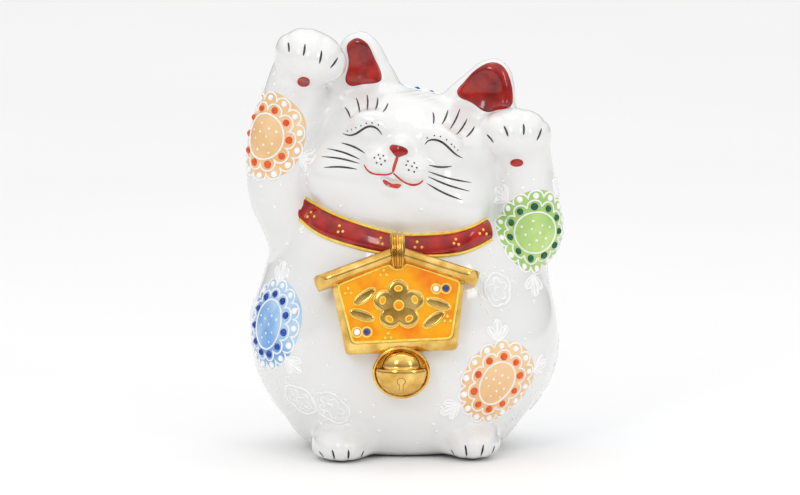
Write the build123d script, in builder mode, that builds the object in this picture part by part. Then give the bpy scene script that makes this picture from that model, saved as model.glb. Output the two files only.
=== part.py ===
"""Beckoning cat figurine: a hollow slip-cast porcelain cat with both forepaws raised, a relief
collar, a roofed wooden-tablet pendant, a round bell, and raised enamel medallions.

Millimetres. The cat faces -Y and stands on Z = 0, with the origin in the middle of its base.
The castings are luted together along the faces where they meet, so each one is trimmed to its
neighbour. Enamel and gold are separate thin bodies that lie on the glaze.
"""

import os
from math import cos, radians, sin, sqrt

from build123d import *

os.makedirs("parts", exist_ok=True)

# ---- driving dimensions ------------------------------------------------------------------
wall = 4.0  # thickness of the slip-cast wall
vent_diameter = 4.0  # air hole in the base, so that the hollow can breathe in the kiln
inner_vent_diameter = 3.0  # holes that join the limb and head hollows to the torso
enamel = 0.5  # thickness of a field of enamel
trail = 1.1  # width of a trailed enamel line

# Stacked ellipses: height, centre x, centre y, x radius, y radius.
torso_sections = [
    (0, 0, 0, 48, 44),
    (5, 0, 0, 55, 49),
    (14, 1, 0, 64, 54.5),
    (26, 1, 0, 73, 59.5),
    (38, 1, 0, 79.8, 63),
    (52, 1, 0, 84, 65.5),
    (70, 1, 0, 85.6, 66.5),
    (88, 1, 0, 83.5, 65),
    (104, 2, 0, 79.5, 61.5),
    (118, 0, 0, 75, 56.5),
    (130, -1, 0, 67, 50.5),
    (139, -2, 0, 57, 43),
    (145, -2, 0, 42, 33),
    (148, -2, 0, 18, 14),
]
neck_bore_radius = 28.0
neck_bore_height = 126.0

head_centre = (2.5, -4, 163)
head_roll, head_yaw = 13.5, -8.5  # leans to the cat's left, turned to its right
head_sections = [
    (-42, 0, -2, 22, 22),
    (-39, 0, -2, 38, 36),
    (-31, 0, -2, 49, 45.5),
    (-20, 0, -1, 54.5, 48.5),
    (-7, 0, -1, 56, 49.5),
    (6, 0, 0, 53.5, 48),
    (18, 0, 0, 48.5, 45),
    (28, 0, 0, 41, 39),
    (36, 0, 0, 31, 29.5),
    (41, 0, 0, 18, 17),
    (42.5, 0, 0, 6, 6),
]
muzzle_centre = (0, -45, -1)  # on the head
muzzle_half_length, muzzle_radius = 21.0, 13.0

ear_sections = {
    "right": [(22, -31, 2, 22, 16), (35, -34, 2, 23, 13.5), (45, -36.5, 2, 19.3, 11),
              (52, -38.8, 2, 15, 9), (58, -40.4, 2, 11.2, 7.2), (62, -41.1, 2, 7.5, 5.2),
              (65, -41.2, 2, 2.5, 2)],
    "left": [(22, 29, 2, 22, 16), (36, 31, 2, 23.5, 13.5), (46, 32.2, 2, 19.8, 11),
             (55, 34.2, 2, 15.2, 9), (61.5, 35.0, 2, 11.2, 7.2), (65.5, 35.3, 2, 7.3, 5.2),
             (68.5, 35.3, 2, 2.5, 2)],
}
ear_pocket_centres = {"right": (-38, -28, 47), "left": (32, -28, 50)}
ear_pocket_radius = 25.0

right_foreleg_sections = [
    (106, -56, -8, 14, 15),
    (118, -58.5, -9, 16.5, 17),
    (130, -63, -10, 18.3, 18),
    (143, -66, -11, 19, 18.5),
    (163, -67.3, -12, 18.7, 18),
    (182, -65, -13, 18.3, 17),
    (199, -61.5, -15, 18.2, 16.5),
    (211, -57.5, -18, 17, 15),
    (220, -54.5, -21, 13, 12),
    (225, -52, -22, 7, 7),
]
left_foreleg_sections = [
    (102, 60, -8, 14, 15),
    (112, 65.5, -9, 16.8, 17),
    (124, 69.7, -10, 18.2, 18),
    (137, 70.5, -11, 17.7, 18),
    (152, 69.3, -12, 17, 17),
    (166, 67, -13, 17, 16),
    (176, 65.4, -15, 16.8, 14.5),
    (183, 63.8, -18, 14, 11),
    (188, 62.5, -20, 7, 6),
]
# Spheroids: centre, half length across, radius, slope across in degrees.
right_paw = ((-51.0, -22, 221.6), 23.0, 18.4, -17.0)
left_paw = ((62.2, -22, 181.5), 20.0, 14.8, 2.0)
foot_half_length = 25.0
right_foot = ((-33.5, -42.5, 6.0), 18.0)
left_foot = ((38.0, -40.0, 5.5), 16.6)
tail_centre, tail_half_length, tail_radius = (14, 61, 24), 17.0, 10.0

collar_front = ((-2, -56, 124.5), 18.0)  # a point of its middle line, and its slope forward
collar_back = ((0, 0, 140.0), 2.0)
collar_lean = 6.6  # down to the cat's left
collar_width, collar_thickness = 9.4, 2.0
collar_dot_azimuths = (-64, -42, -16, 12, 36, 58)

pendant_origin = (-1, -69.5, 97)  # on the tablet's front face
pendant_recline, pendant_roll = 11.0, 1.5
board_edge = [(-37, 1.5), (-31, -32.3), (31, -32.3), (37, 1.5), (0, 21)]
board_face = [(-34.9, 4), (-28.4, -26.8), (28.4, -26.8), (34.9, 4), (0, 21)]
board_bevel = 6.5
panel_outline = [(-33.8, 6.6), (-27.2, -25.8), (27.2, -25.8), (33.8, 6.6), (0, 19.6)]
roof_outline = [(-45.3, 10.3), (0, 26.8), (45.3, 10.3), (40.8, -0.2), (37.2, 1.2), (34.8, 6.4),
                (0, 19.8), (-34.8, 6.4), (-37.2, 1.2), (-40.8, -0.2)]
roof_rise = 3.5  # how far the roof stands in front of the tablet
embed = 16.0  # how far blocks run back towards the chest before they are trimmed to it
loop_centre, loop_width, loop_length, loop_rise = (-0.6, 24.5), 8.2, 20.5, 5.0
ornament_rise = 1.0
petal_radius, petal_ring, blossom_centre = 5.0, 7.4, (0, -5.5)
leaves = [(-18.5, -1.5, 35), (-21, -10, -20), (18.5, -13, 35), (20, -5, -20)]
bell_centre, bell_radius, bell_half_height = (0.1, -43.2, -8.0), 15.4, 13.8
bell_band_radius = 0.9
white_dots, blue_dots = [(19.9, 2.7), (-24.4, -20.7)], [(25.0, 2.7), (-19.0, -20.7)]
yellow_clusters = [(-9.3, 12.4), (-29.2, 2.7), (24.5, -14.1), (-7.7, -23.0)]

# Medallions: form, point inside it, axis the field bends round, the way it faces (azimuth from
# the front and elevation), and the field's radius.
upright = (0, 0, 1)
medallions = {
    "right_arm": ("right_foreleg", (-65.5, -12.7, 178.5), upright, (-48, 0), 25),
    "left_arm": ("left_foreleg", (70.3, -10.3, 127.0), upright, (13, 0), 24),
    "right_flank": ("torso", (1, 0, 76.0), upright, (-57, 0), 24),
    "left_thigh": ("torso", (1, 0, 46.5), upright, (36, 0), 23),
    "left_back": ("torso", (1, 0, 52.0), upright, (112, 0), 23),
    "crown": ("head", head_centre, (1, 0, 0), (171, 60), 22),
}
dot_radius = 0.75

# On the face, across and up from the middle of the head.
nose_outline = [(-5.2, 14.4), (-3.6, 16.6), (3.6, 16.6), (5.2, 14.4), (1.4, 9.6), (-1.4, 9.6)]
mouth_curves = [[(-17.5, -1.5), (-9.8, -5.2), (-0.4, -2.5)], [(-0.4, -2.5), (9.8, -5.8), (17.5, -2)]]
mouth_width, lip_centre, lip_half = 1.0, (0.3, -8.2), (5.6, 1.7)
paw_pads = {"right_foreleg": (-56.0, 205.0, 3.4, 2.7), "left_foreleg": (63.7, 165.5, 3.6, 2.2)}


def node(name, shape):
    """Labels a finished piece and writes it as its own file."""
    shape.label = name
    export_step(shape, f"parts/{name}.step")
    return shape


def stacked(sections, plane=Plane.XY, grow=0.0):
    """A closed body through stacked ellipses, thickened or thinned all round by grow."""
    low, high = sections[0][0], sections[-1][0]
    middle, half = (low + high) / 2, (high - low) / 2
    with BuildPart() as body:
        for height, x, y, x_radius, y_radius in sections:
            level = middle + (height - middle) * (half + grow) / half
            with BuildSketch(plane.offset(level)):
                with Locations((x, y)):
                    Ellipse(max(x_radius + grow, 1), max(y_radius + grow, 1))
        loft()
    return body.part


def spheroid(plane, half_length, radius):
    """A rounded body along the plane's x axis, lofted through circles."""
    across = Plane(plane.origin, x_dir=plane.y_dir, z_dir=plane.x_dir)
    with BuildPart() as body:
        for k in range(9):
            turn = radians(21 * (k - 4))
            with BuildSketch(across.offset(half_length * sin(turn))):
                Circle(radius * cos(turn))
        loft()
    return body.part


def ball(centre, radius):
    with BuildPart() as body:
        with Locations(centre):
            Sphere(radius)
    return body.part


# ---- the outer forms, before they are trimmed to each other ----------------------------------
head_plane = Plane(Location(head_centre, (0, head_roll, head_yaw)))


def head_point(point):
    """A point of the head's own frame, in the figurine's frame."""
    return tuple(head_plane.from_local_coords(Vector(*point)))


def paw(spec):
    centre, half_length, radius, slope = spec
    across = (cos(radians(slope)), 0, sin(radians(slope)))
    return spheroid(Plane(centre, x_dir=across, z_dir=(0, -1, 0)), half_length, radius)


def foot(spec, grow=0.0):
    centre, radius = spec
    return spheroid(Plane(centre, x_dir=(0, 1, 0)), foot_half_length + grow, radius + grow)


torso_form = stacked(torso_sections)
with BuildPart() as head_body:
    add(stacked(head_sections, head_plane))
    add(spheroid(Plane(head_point(muzzle_centre), x_dir=head_plane.x_dir, z_dir=head_plane.z_dir),
                 muzzle_half_length, muzzle_radius))
head_form = head_body.part

with BuildPart() as right_foreleg_body:
    add(stacked(right_foreleg_sections))
    add(paw(right_paw))
with BuildPart() as left_foreleg_body:
    add(stacked(left_foreleg_sections))
    add(paw(left_paw))
foreleg_forms = {"right_foreleg": right_foreleg_body.part, "left_foreleg": left_foreleg_body.part}
forms = {"torso": torso_form, "head": head_form, **foreleg_forms}

# ---- castings --------------------------------------------------------------------------------
vent_places = [(-57, -9, 114), (63, -9, 110), (-30, -40, 9), (33, -38, 9)]
with BuildPart() as torso:
    add(torso_form)
    add(stacked(torso_sections, grow=-wall), mode=Mode.SUBTRACT)
    with Locations((1, 0, neck_bore_height)):
        Cylinder(neck_bore_radius, 40, align=(Align.CENTER, Align.CENTER, Align.MIN),
                 mode=Mode.SUBTRACT)
    with Locations((0, 14, 0)):
        Cylinder(vent_diameter / 2, 4 * wall, mode=Mode.SUBTRACT)
    for x, y, z in vent_places:  # run outwards from the hollow into each limb
        with BuildSketch(Plane((0.6 * x, 0.6 * y, z), z_dir=(x, y, 0))):
            Circle(inner_vent_diameter / 2)
        extrude(amount=0.4 * sqrt(x * x + y * y), mode=Mode.SUBTRACT)
node("torso", torso.part)

with BuildPart() as head:
    add(head_form)
    add(stacked(head_sections, head_plane, grow=-wall), mode=Mode.SUBTRACT)
    add(torso_form, mode=Mode.SUBTRACT)
head_shell = head.part.solids().sort_by(SortBy.VOLUME)[-1]
node("head", head_shell)

for name, sections in (("right_foreleg", right_foreleg_sections),
                       ("left_foreleg", left_foreleg_sections)):
    with BuildPart() as foreleg:
        add(foreleg_forms[name])
        add(stacked(sections[:-2], grow=-wall), mode=Mode.SUBTRACT)
        add(torso_form, mode=Mode.SUBTRACT)
        add(head_form, mode=Mode.SUBTRACT)
    node(name, foreleg.part.solids().sort_by(SortBy.VOLUME)[-1])

for side, sections in ear_sections.items():
    pocket_centre = head_point(ear_pocket_centres[side])
    with BuildPart() as ear_body:
        add(stacked(sections, head_plane))
        add(head_form, mode=Mode.SUBTRACT)
        add(foreleg_forms[f"{side}_foreleg"], mode=Mode.SUBTRACT)
    ear_form = ear_body.part.solids().sort_by(SortBy.VOLUME)[-1]
    with BuildPart() as ear:
        add(ear_form)
        add(ball(pocket_centre, ear_pocket_radius), mode=Mode.SUBTRACT)
    node(f"{side}_ear", ear.part.solids().sort_by(SortBy.VOLUME)[-1])
    with BuildPart() as ear_lining:
        add(ear.part)
        add(ball(pocket_centre, ear_pocket_radius + enamel), mode=Mode.INTERSECT)
    lining = ear_lining.part.solids().sort_by(SortBy.VOLUME)[-1]
    node(f"{side}_ear_lining", lining)
    with BuildPart() as lined_ear:
        add(ear.part)
        add(ball(pocket_centre, ear_pocket_radius + enamel), mode=Mode.SUBTRACT)
    node(f"{side}_ear", lined_ear.part.solids().sort_by(SortBy.VOLUME)[-1])

for side, spec in (("right", right_foot), ("left", left_foot)):
    with BuildPart() as hind_foot:
        add(foot(spec))
        add(foot(spec, grow=-wall), mode=Mode.SUBTRACT)
        with BuildSketch(Plane.XY):  # the sole, closed under the hollow
            with Locations(spec[0][:2]):
                Ellipse(0.75 * spec[1], 0.7 * foot_half_length)
        extrude(amount=wall)
        split(bisect_by=Plane.XY, keep=Keep.TOP)
        add(torso_form, mode=Mode.SUBTRACT)
    node(f"{side}_hind_foot", hind_foot.part.solids().sort_by(SortBy.VOLUME)[-1])

with BuildPart() as tail:
    add(spheroid(Plane(Location(tail_centre, (0, -60, 0))), tail_half_length, tail_radius))
    add(torso_form, mode=Mode.SUBTRACT)
node("tail", tail.part.solids().sort_by(SortBy.VOLUME)[-1])

# ---- collar ----------------------------------------------------------------------------------
collar_planes = [Plane(Location(point, (fall, collar_lean, 0)))
                 for point, fall in (collar_front, collar_back)]
with BuildPart() as collar_body:
    add(stacked(torso_sections, grow=collar_thickness))
    add(stacked(head_sections, head_plane, grow=collar_thickness))
collar_form = collar_body.part


def collar_layer(low, high):
    """The part of the collar between two heights across it, front and back of the forelegs."""
    with BuildPart() as layer:
        for plane, keep in zip(collar_planes, (Align.MAX, Align.MIN)):
            with BuildSketch(plane.offset(low)):
                with Locations((0, -plane.origin.Y)):
                    Rectangle(240, 120, align=(Align.CENTER, keep))
            extrude(amount=high - low)
        add(collar_form, mode=Mode.INTERSECT)
        for form in forms.values():
            add(form, mode=Mode.SUBTRACT)
    return layer.part


half_collar = collar_width / 2
collar_band = node("collar_band", collar_layer(-half_collar, half_collar))
collar_trim_lower = node("collar_trim_lower", collar_layer(-half_collar - trail, -half_collar))
collar_trim_upper = node("collar_trim_upper", collar_layer(half_collar, half_collar + trail))

# ---- enamel laid on the curved glaze -----------------------------------------------------------


def leaving(form, start, direction):
    """The outermost point where a ray leaves a form, and the outward normal there."""
    heading = Vector(*direction).normalized()
    crossings = form.find_intersection_points(Axis(start, heading))
    point, normal = max(crossings, key=lambda hit: (hit[0] - Vector(*start)).dot(heading))
    return point, normal if normal.dot(heading) > 0 else -normal


def tangent_plane(form, start, direction):
    point, normal = leaving(form, start, direction)
    across = Vector(0, 0, 1).cross(normal)
    return Plane(point, x_dir=across, z_dir=normal)


def dome(radius, height):
    """A drop of enamel: a low round with its top edge rounded over."""
    with BuildPart() as body:
        Cylinder(radius, height, align=(Align.CENTER, Align.CENTER, Align.MIN))
        fillet(body.edges().sort_by(Axis.Z)[-1], 0.7 * height)
    return body.part


def scattered(shape, planes):
    with BuildPart() as body:
        with Locations(*[plane.location for plane in planes]):
            add(shape)
    return body.part


class Patch:
    """A round patch on a form: polar positions in it become tangent planes on the glaze."""

    def __init__(self, form, centre, axis, facing):
        self.form, self.centre = form, Vector(*centre)
        self.axis, self.facing = Vector(*axis).normalized(), Vector(*facing).normalized()
        point, _ = leaving(form, self.centre, self.facing)
        self.reach = (point - self.centre).length

    def inlay(self, thick_form, outline, turn):
        """The outline, pressed onto the form as a thin even layer that bends through a turn."""
        depth = 6 + self.reach * (1 - cos(turn)) + 4 * enamel
        view = Plane(self.centre + self.facing * (self.reach + 5), x_dir=self.side,
                     z_dir=self.facing)
        with BuildPart() as layer:
            with BuildSketch(view):
                add(outline)
            extrude(amount=-depth)
            add(thick_form, mode=Mode.INTERSECT)
            for form in forms.values():
                add(form, mode=Mode.SUBTRACT)
        return layer.part

    @property
    def side(self):
        return self.axis.cross(self.facing)


# ---- collar dots, nose, mouth and paw pads ------------------------------------------------------
grown_torso = stacked(torso_sections, grow=enamel)
cluster = [(0, 1.3), (-1.5, -1.0), (1.5, -1.0)]


def collar_point(azimuth, across, up):
    """The tangent plane on the front of the collar, at an azimuth and offset from its middle."""
    plane = collar_planes[0].offset(up)
    turn = radians(azimuth) + across / 56
    middle = Vector(-2, 0, 0)
    middle.Z = plane.origin.Z - plane.z_dir.Y * (0 - plane.origin.Y) / plane.z_dir.Z
    flat = Vector(sin(turn), -cos(turn), 0)
    slope = -(plane.z_dir.X * flat.X + plane.z_dir.Y * flat.Y) / plane.z_dir.Z
    return tangent_plane(collar_form, middle, flat + Vector(0, 0, slope))


node("collar_dots", scattered(dome(dot_radius, 0.6), [
    collar_point(azimuth, across, up) for azimuth in collar_dot_azimuths for across, up in cluster
]))

face_plane = Plane(head_point((0, -90, 0)), x_dir=head_plane.x_dir, z_dir=-head_plane.y_dir)
with BuildPart() as grown_head_body:
    add(stacked(head_sections, head_plane, grow=enamel))
    add(spheroid(Plane(head_point(muzzle_centre), x_dir=head_plane.x_dir, z_dir=head_plane.z_dir),
                 muzzle_half_length + enamel, muzzle_radius + enamel))
grown_head = grown_head_body.part


def on_face(outline):
    with BuildPart() as layer:
        with BuildSketch(face_plane):
            add(outline)
        extrude(amount=-80)
        add(grown_head, mode=Mode.INTERSECT)
        add(head_form, mode=Mode.SUBTRACT)
    return layer.part


with BuildSketch() as nose_sketch:
    with BuildLine():
        Spline(*nose_outline, periodic=True)
    make_face()
with BuildSketch() as mouth_sketch:
    with BuildLine():
        for curve in mouth_curves:
            Spline(*curve)
    trace(line_width=mouth_width)
with BuildSketch() as lip_sketch:
    with Locations(lip_centre):
        Ellipse(*lip_half)
node("nose", on_face(nose_sketch.sketch))
node("mouth_line", on_face(mouth_sketch.sketch))
node("lip", on_face(lip_sketch.sketch))

with BuildPart() as pads:
    for name, (x, z, half_across, half_up) in paw_pads.items():
        point, normal = leaving(forms[name], (x, 0, z), (0, -1, 0))
        with Locations(Plane(point, x_dir=Vector(0, 0, 1).cross(normal), z_dir=normal).location):
            add(scale(dome(1, 1), by=(half_across, half_up, 0.5), mode=Mode.PRIVATE))
node("paw_pads", pads.part)

# ---- medallions --------------------------------------------------------------------------------
grown = {
    "torso": grown_torso,
    "head": grown_head,
    "right_foreleg": stacked(right_foreleg_sections, grow=enamel),
    "left_foreleg": stacked(left_foreleg_sections, grow=enamel),
}
def facing_from(azimuth, elevation):
    level = cos(radians(elevation))
    return (level * sin(radians(azimuth)), -level * cos(radians(azimuth)), sin(radians(elevation)))


for name, (host, centre, axis, facing, field) in medallions.items():
    patch = Patch(forms[host], centre, axis, facing_from(*facing))
    turn = min(field / patch.reach, 1.2)
    with BuildSketch() as field_sketch:
        Ellipse(sin(turn) * patch.reach, field)
    node(f"{name}_medallion", patch.inlay(grown[host], field_sketch.sketch, turn))

# ---- tablet pendant and bell -----------------------------------------------------------------------
behind_pendant = [torso_form, collar_band, collar_trim_lower, collar_trim_upper]
recline, roll = radians(pendant_recline), radians(pendant_roll)
pendant_plane = Plane(pendant_origin, x_dir=(cos(roll), 0, sin(roll)),
                      z_dir=(0, -cos(recline), sin(recline)))


with BuildPart() as plaque_board:
    with BuildSketch(pendant_plane.offset(-embed)):
        Polygon(*board_edge, align=None)
    extrude(amount=embed - board_bevel)
    with BuildSketch(pendant_plane.offset(-board_bevel)):
        Polygon(*board_edge, align=None)
    with BuildSketch(pendant_plane):
        Polygon(*board_face, align=None)
    loft(ruled=True)
    add(behind_pendant, mode=Mode.SUBTRACT)

with BuildPart() as plaque_roof:
    with BuildSketch(pendant_plane.offset(-embed)):
        Polygon(*roof_outline, align=None)
    extrude(amount=embed + roof_rise)
    front_edges = plaque_roof.faces().sort_by(Axis(pendant_plane.origin, pendant_plane.z_dir))[-1]
    chamfer(front_edges.edges(), length=1.6)
    add(behind_pendant, mode=Mode.SUBTRACT)
    add(plaque_board.part, mode=Mode.SUBTRACT)

with BuildPart() as pendant_loop:
    with BuildSketch(pendant_plane.offset(-embed)):
        with Locations(loop_centre):
            SlotOverall(loop_length, loop_width, rotation=90)
    extrude(amount=embed + loop_rise - 2)
    with BuildSketch(pendant_plane.offset(loop_rise - 2)):  # two ribs, one each side of a groove
        for side in (-1, 1):
            with Locations((loop_centre[0] + side * loop_width / 4, loop_centre[1])):
                SlotOverall(loop_length - loop_width / 2, loop_width / 2 - 0.3, rotation=90)
    extrude(amount=2, taper=30)
    add([*behind_pendant, head_form, plaque_board.part, plaque_roof.part], mode=Mode.SUBTRACT)

with BuildPart() as plaque_panel:
    with BuildSketch(pendant_plane):
        Polygon(*panel_outline, align=None)
    extrude(amount=enamel)
    add(pendant_loop.part, mode=Mode.SUBTRACT)

enamel_plane = pendant_plane.offset(enamel)
with BuildSketch() as ornament:
    with Locations(blossom_centre):
        with PolarLocations(petal_ring, 5, start_angle=90):
            Circle(petal_radius)
        Circle(petal_ring)
        with PolarLocations(petal_ring * 0.62, 5, start_angle=54):
            Circle(0.9, mode=Mode.SUBTRACT)
    for x, y, turn in leaves:
        with Locations((x, y)):
            Ellipse(7.0, 2.6, rotation=turn)
with BuildPart() as plaque_ornament:
    with BuildSketch(enamel_plane):
        add(ornament.sketch)
    extrude(amount=ornament_rise)

with BuildPart() as plaque_outline:  # trailed round the panel and round the ornament
    with BuildSketch(enamel_plane):
        Polygon(*panel_outline, align=None)
        offset(amount=-trail, mode=Mode.SUBTRACT)
    with BuildSketch(enamel_plane):
        add(ornament.sketch)
        offset(amount=trail * 0.8)
        add(ornament.sketch, mode=Mode.SUBTRACT)
    extrude(amount=enamel)
    add(pendant_loop.part, mode=Mode.SUBTRACT)


def panel_dots(centres, radius):
    with BuildPart() as body:
        with Locations(*[enamel_plane.location * Location((*centre, 0)) for centre in centres]):
            add(dome(radius, 0.8 * radius))
    return body.part


with BuildPart() as bell:
    centre = pendant_plane.from_local_coords(Vector(*bell_centre))
    for k in range(9):
        turn = radians(21 * (k - 4))
        with BuildSketch(Plane(centre).offset(bell_half_height * sin(turn))):
            Circle(bell_radius * cos(turn))
    loft()
    add([torso_form, plaque_board.part], mode=Mode.SUBTRACT)
with BuildPart() as bell_band:
    with Locations(centre):
        Torus(bell_radius, bell_band_radius)
    add([torso_form, plaque_board.part, bell.part], mode=Mode.SUBTRACT)

node("plaque_board", plaque_board.part)
node("plaque_roof", plaque_roof.part)
node("pendant_loop", pendant_loop.part)
node("plaque_panel", plaque_panel.part)
node("plaque_ornament", plaque_ornament.part)
node("plaque_outline", plaque_outline.part)
node("plaque_dots_white", panel_dots(white_dots, 1.9))
node("plaque_dots_blue", panel_dots(blue_dots, 1.7))
node("plaque_dots_yellow", panel_dots([(x + dx, y + dy) for x, y in yellow_clusters
                                       for dx, dy in cluster], dot_radius))
for name, keep in (("bell_upper_half", Keep.TOP), ("bell_lower_half", Keep.BOTTOM)):
    with BuildPart() as half:
        add(bell.part)
        split(bisect_by=Plane(centre), keep=keep)
    node(name, half.part)
node("bell_band", bell_band.part)
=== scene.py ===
"""The beckoning cat figurine's looks: one blended, glazed body and its raised enamel decoration.

The body is a smooth distance field sampled on a grid and skinned. Decoration is placed on it in
two ways: by its place in the front view (across and up, in millimetres, seen from eight degrees
above), or by distance and bearing from a point on the glaze.
"""

import math
import random

import bpy
import numpy as np
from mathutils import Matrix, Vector


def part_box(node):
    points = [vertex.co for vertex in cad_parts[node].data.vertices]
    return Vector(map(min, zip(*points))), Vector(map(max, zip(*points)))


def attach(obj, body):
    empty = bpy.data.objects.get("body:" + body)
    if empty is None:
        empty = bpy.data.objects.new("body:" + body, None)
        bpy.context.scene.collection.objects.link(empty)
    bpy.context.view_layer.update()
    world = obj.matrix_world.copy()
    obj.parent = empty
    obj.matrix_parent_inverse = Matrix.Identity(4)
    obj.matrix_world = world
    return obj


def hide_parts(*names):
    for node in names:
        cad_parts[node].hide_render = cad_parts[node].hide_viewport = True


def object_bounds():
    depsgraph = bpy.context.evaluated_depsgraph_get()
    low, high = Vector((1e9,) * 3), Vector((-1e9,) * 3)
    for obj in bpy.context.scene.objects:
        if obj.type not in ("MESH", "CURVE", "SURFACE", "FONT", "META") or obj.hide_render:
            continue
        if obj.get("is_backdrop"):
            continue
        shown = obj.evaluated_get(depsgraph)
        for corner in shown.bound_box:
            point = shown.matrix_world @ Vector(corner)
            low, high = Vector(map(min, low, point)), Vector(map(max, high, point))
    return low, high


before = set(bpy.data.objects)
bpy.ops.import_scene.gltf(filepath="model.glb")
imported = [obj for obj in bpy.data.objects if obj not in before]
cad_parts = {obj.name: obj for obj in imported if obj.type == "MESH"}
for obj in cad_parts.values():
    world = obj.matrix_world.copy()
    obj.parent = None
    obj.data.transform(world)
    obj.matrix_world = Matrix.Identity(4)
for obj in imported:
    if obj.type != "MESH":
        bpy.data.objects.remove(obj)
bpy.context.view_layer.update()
MM = 0.001  # one millimetre, in the scene's metres
VIEW_RISE = math.radians(8)  # the front view looks down by this much
GRID = 1.25
TUCK = 0.15  # how far thin edges of enamel go into the glaze
RAY_START = 130  # how far in front of the figurine's middle the front view's rays start
random.seed(4)

# ---- small geometry ----


def spline(xs, ys, at):
    """Natural cubic spline through the points, held flat outside them."""
    xs, ys = np.asarray(xs, float), np.asarray(ys, float)
    n = len(xs)
    h = np.diff(xs)
    slopes = np.diff(ys) / h
    system, right = np.eye(n), np.zeros(n)
    for i in range(1, n - 1):
        system[i, i - 1 : i + 2] = h[i - 1], 2 * (h[i - 1] + h[i]), h[i]
        right[i] = 6 * (slopes[i] - slopes[i - 1])
    bend = np.linalg.solve(system, right)
    at = np.clip(at, xs[0], xs[-1])
    k = np.clip(np.searchsorted(xs, at) - 1, 0, n - 2)
    a, b = (xs[k + 1] - at) / h[k], (at - xs[k]) / h[k]
    return (a * ys[k] + b * ys[k + 1]
            + ((a**3 - a) * bend[k] + (b**3 - b) * bend[k + 1]) * h[k] ** 2 / 6)


def rotation(x=0.0, y=0.0, z=0.0):
    """World-from-local rotation, about local x, then y, then z, in degrees."""
    cx, cy, cz = (math.cos(math.radians(a)) for a in (x, y, z))
    sx, sy, sz = (math.sin(math.radians(a)) for a in (x, y, z))
    about_x = np.array([[1, 0, 0], [0, cx, -sx], [0, sx, cx]])
    about_y = np.array([[cy, 0, sy], [0, 1, 0], [-sy, 0, cy]])
    about_z = np.array([[cz, -sz, 0], [sz, cz, 0], [0, 0, 1]])
    return about_x @ about_y @ about_z


def unit(v):
    """Vectors along the last axis, each made one long."""
    v = np.asarray(v, float)
    return v / np.maximum(np.linalg.norm(v, axis=-1, keepdims=True), 1e-9)


def swung(x, y, degrees):
    """Flat places (x, y), turned to the left about their origin."""
    a = math.radians(degrees)
    return np.stack([x * math.cos(a) - y * math.sin(a), x * math.sin(a) + y * math.cos(a)], -1)


# ---- distance fields ----
LOW, HIGH = np.array([-96.0, -78.0, -4.0]), np.array([98.0, 80.0, 246.0])
counts = np.ceil((HIGH - LOW) / GRID).astype(int) + 1
axes = [LOW[i] + GRID * np.arange(counts[i]) for i in range(3)]
X, Y, Z = (a.astype(np.float32) for a in np.meshgrid(*axes, indexing="ij"))


def local(centre, turn):
    """Grid coordinates in a local frame, one array for each axis."""
    dx, dy, dz = X - centre[0], Y - centre[1], Z - centre[2]
    return [dx * turn[0, i] + dy * turn[1, i] + dz * turn[2, i] for i in range(3)]


def ellipsoid(centre, radii, turn=np.eye(3)):
    """Roughly the distance to an ellipsoid: true at its surface and near it."""
    p = local(centre, turn)
    k0 = np.sqrt(sum((p[i] / radii[i]) ** 2 for i in range(3))) + 1e-6
    k1 = np.sqrt(sum((p[i] / radii[i] ** 2) ** 2 for i in range(3))) + 1e-6
    return k0 * (k0 - 1) / k1


def stacked(sections, centre=(0, 0, 0), turn=np.eye(3)):
    """Ellipses (height, centre x, centre y, x radius, y radius), splined along the height."""
    x, y, h = local(centre, turn)
    rows = np.array(sections, float)
    line = np.linspace(rows[0, 0], rows[-1, 0], 400)
    cx, cy, rx, ry = (np.interp(h, line, spline(rows[:, 0], rows[:, i], line)) for i in range(1, 5))
    rx, ry = np.maximum(rx, 0.8), np.maximum(ry, 0.8)
    u, v = (x - cx) / rx, (y - cy) / ry
    k0 = np.sqrt(u * u + v * v) + 1e-6
    k1 = np.sqrt((u / rx) ** 2 + (v / ry) ** 2) + 1e-6
    side = k0 * (k0 - 1) / k1
    ends = np.maximum(rows[0, 0] - h, h - rows[-1, 0])
    field = np.maximum(side, ends)
    slope = np.sqrt(sum(g * g for g in np.gradient(field, GRID)))
    return (field / np.clip(slope, 0.8, 3.0)).astype(np.float32)


def join(a, b, k):
    """Union with a fillet about k wide."""
    h = np.clip(0.5 + 0.5 * (b - a) / k, 0, 1)
    return b + (a - b) * h - k * h * (1 - h)


def cut(a, b, k):
    """a without b, with a rounded edge."""
    return -join(-a, b, k)


# ---- the body's shapes ----
# Sections of each form: height, centre x and y, radius x and y.
TORSO = [(-6, 0.3, 0, 43, 31), (0, 0.3, 0, 50, 38), (5, 0.4, 0, 57, 45), (15, 0.5, 0, 65.5, 53.5),
         (26, 0.8, 0, 73.8, 59.5), (38, 1, 0, 79.6, 63), (52, 0.8, 0, 83, 65.2), (66, 0.3, 0, 84.6, 66.3),
         (80, 0.3, 0, 84.4, 65.5), (93, 1.2, 0, 82, 63), (104, 1.8, 0, 79.5, 59.6), (116, 1, 0, 75, 55),
         (128, 0, 0, 67, 49), (138, -2, 0, 54, 41), (150, -2, 0, 38, 28)]
HEAD_CENTRE, HEAD_TURN = (2.5, -4, 163), rotation(0, 13.5, -8.5)
HEAD = [(-46, 0, 0, 20, 22), (-40, 0, -1, 38, 36), (-31, 0, -2, 49, 45.5), (-20, 0, -1, 55, 48.5),
        (-7, 0, -1, 56, 49), (6, 0, 0, 53.5, 48), (18, 0, 0, 48.5, 45), (27, 0, 0, 40.5, 38.5),
        (34.6, 0, 0, 29.5, 28.5), (39, 0, 0, 17, 16), (41, 0, 0, 3, 3)]
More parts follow.
